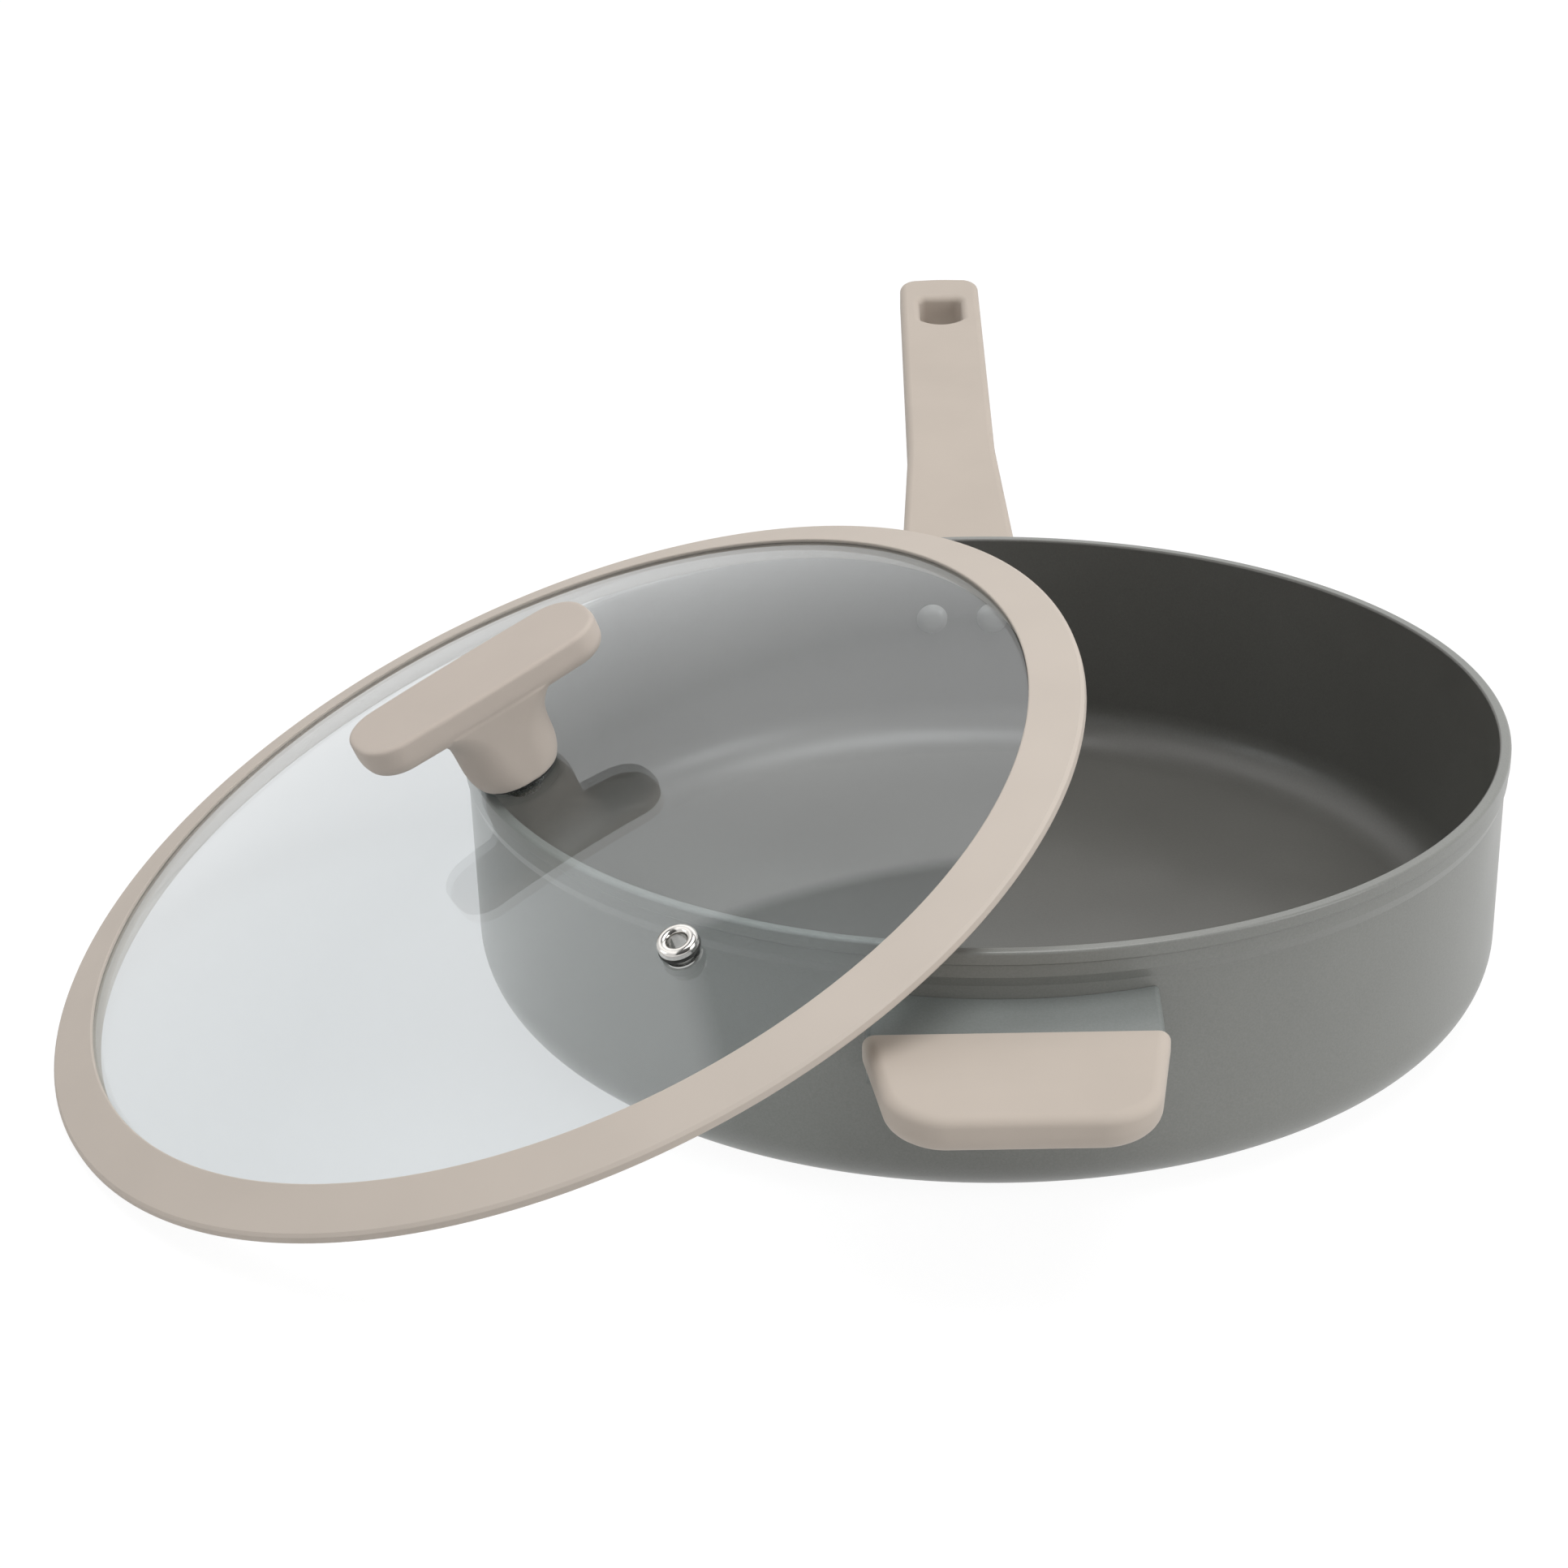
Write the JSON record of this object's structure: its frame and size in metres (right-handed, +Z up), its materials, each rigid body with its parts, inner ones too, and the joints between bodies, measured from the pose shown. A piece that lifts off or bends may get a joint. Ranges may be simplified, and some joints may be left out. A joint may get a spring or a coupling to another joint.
{
  "type": "saute pan with lid",
  "caption": "Deep straight-sided saute pan with a long handle and a helper handle, and a domed glass lid with a silicone ring and T-shaped knob, leaning on the rim.",
  "frame": {"origin": "centre of the pan's underside, on the surface that the pan stands on", "axes": "+Z up out of the pan, +Y along the long handle, +X to the right seen from the helper handle; the lid leans on the pan's -X side"},
  "size_m": [0.3983, 0.5349, 0.1216],
  "materials": {
    "pan_coating": "matte ceramic coating over cast aluminium",
    "rivet_coating": "matte ceramic coating",
    "plate_steel": "circular brushed",
    "grip_soft_touch": "soft-touch",
    "knob_soft_touch": "soft-touch",
    "ring_silicone": "matte silicone",
    "lid_glass": "clear tempered glass",
    "screw_steel": "satin",
    "insert_brass": "machined",
    "seal_rubber": "matte silicone",
    "eyelet_chrome": "polished"
  },
  "bodies": {
    "pan": {"pan_body": "pan_coating", "induction_plate": "plate_steel", "long_handle_bracket": "pan_coating", "long_handle_rivets": "rivet_coating", "long_handle_grip": "grip_soft_touch", "long_handle_screw": "screw_steel", "helper_handle_bracket": "pan_coating", "helper_handle_rivets": "rivet_coating", "helper_handle_grip": "grip_soft_touch", "helper_handle_screws": "screw_steel"},
    "lid": {"lid_glass": "lid_glass", "lid_ring": "ring_silicone", "lid_knob": "knob_soft_touch", "knob_insert": "insert_brass", "knob_gasket": "seal_rubber", "knob_under_seal": "seal_rubber", "knob_washer": "screw_steel", "knob_screw": "screw_steel", "vent_eyelet": "eyelet_chrome", "vent_seal": "seal_rubber"}
  },
  "joints": [
    {"name": "lid_lift", "type": "slide", "parent": "pan", "child": "lid", "axis": [0, 0, 1], "range_m": [0, 0.15]}
  ]
}
